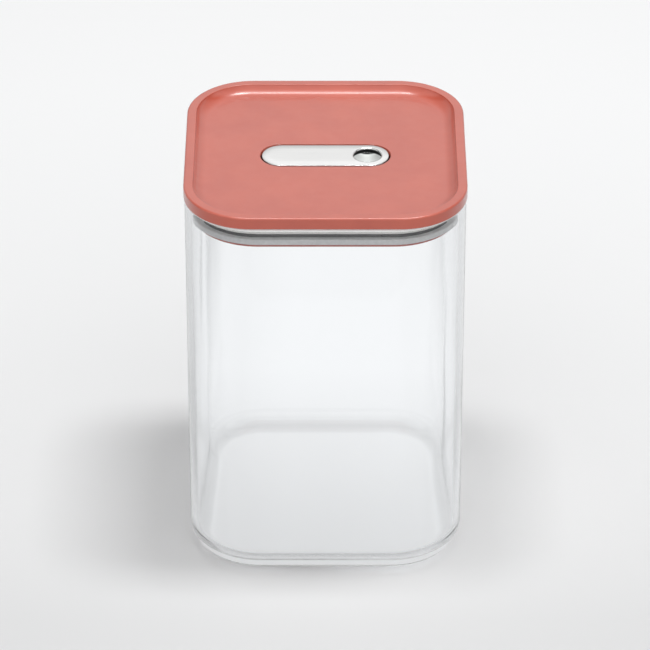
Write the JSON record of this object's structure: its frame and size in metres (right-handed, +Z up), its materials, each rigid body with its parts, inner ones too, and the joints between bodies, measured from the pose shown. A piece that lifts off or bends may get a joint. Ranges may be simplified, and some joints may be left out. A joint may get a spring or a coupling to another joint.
{
  "type": "food storage canister",
  "caption": "Square glass food canister with rounded corners, a dished coral plastic lid, a silicone-sealed plug and a flip-up steel lever with a finger hole",
  "frame": {"origin": "middle of the jar's flat base, on the surface that it stands on", "axes": "+Z up, -Y front of the canister, +X the side of the lever's finger hole"},
  "size_m": [0.112, 0.112, 0.1703],
  "materials": {
    "clear_glass": "clear pressed soda-lime glass, fire polished",
    "coral_plastic": "satin moulded plastic, coral",
    "polished_steel": "mirror-polished stainless steel",
    "spring_steel": "bright drawn stainless wire and screws",
    "grey_silicone": "satin grey silicone",
    "pale_plastic": "natural moulded plastic",
    "dark_plastic": "dark grey moulded plastic"
  },
  "bodies": {
    "jar": {"glass_jar": "clear_glass"},
    "lid": {"lid_cover": "coral_plastic", "plug_frame": "pale_plastic", "silicone_seal": "grey_silicone", "lever_pocket": "dark_plastic", "finger_well": "polished_steel", "hinge_pin": "spring_steel", "cover_screw_1": "spring_steel", "cover_screw_2": "spring_steel", "cover_screw_3": "spring_steel", "cover_screw_4": "spring_steel", "return_spring_1": "spring_steel", "return_spring_2": "spring_steel", "return_spring_3": "spring_steel", "return_spring_4": "spring_steel"},
    "plate": {"pressure_plate": "coral_plastic", "striker_pad": "dark_plastic", "post_screw_1": "spring_steel", "post_screw_2": "spring_steel", "post_screw_3": "spring_steel", "post_screw_4": "spring_steel"},
    "lever": {"lever_plate": "polished_steel", "lever_core": "dark_plastic", "lever_rivet_1": "spring_steel", "lever_rivet_2": "spring_steel"}
  },
  "joints": [
    {"name": "lid_lift", "type": "slide", "parent": "jar", "child": "lid", "axis": [0, 0, 1], "range_m": [0, 0.06]},
    {"name": "lever_flip", "type": "hinge", "parent": "lid", "child": "lever", "pos_m": [-0.0171, 0, 0.1639], "axis": [0, -1, 0], "range_deg": [0, 90]},
    {"name": "plate_travel", "type": "slide", "parent": "lid", "child": "plate", "axis": [0, 0, -1], "range_m": [0, 0.002], "stiffness_N_per_m": 20, "springref_m": -0.0075, "deforming": ["silicone_seal", "return_spring_1", "return_spring_2", "return_spring_3", "return_spring_4"]}
  ],
  "couplings": [
    {"joint": "lever_flip", "follows": "plate_travel", "rad_per_m": 785.3}
  ]
}
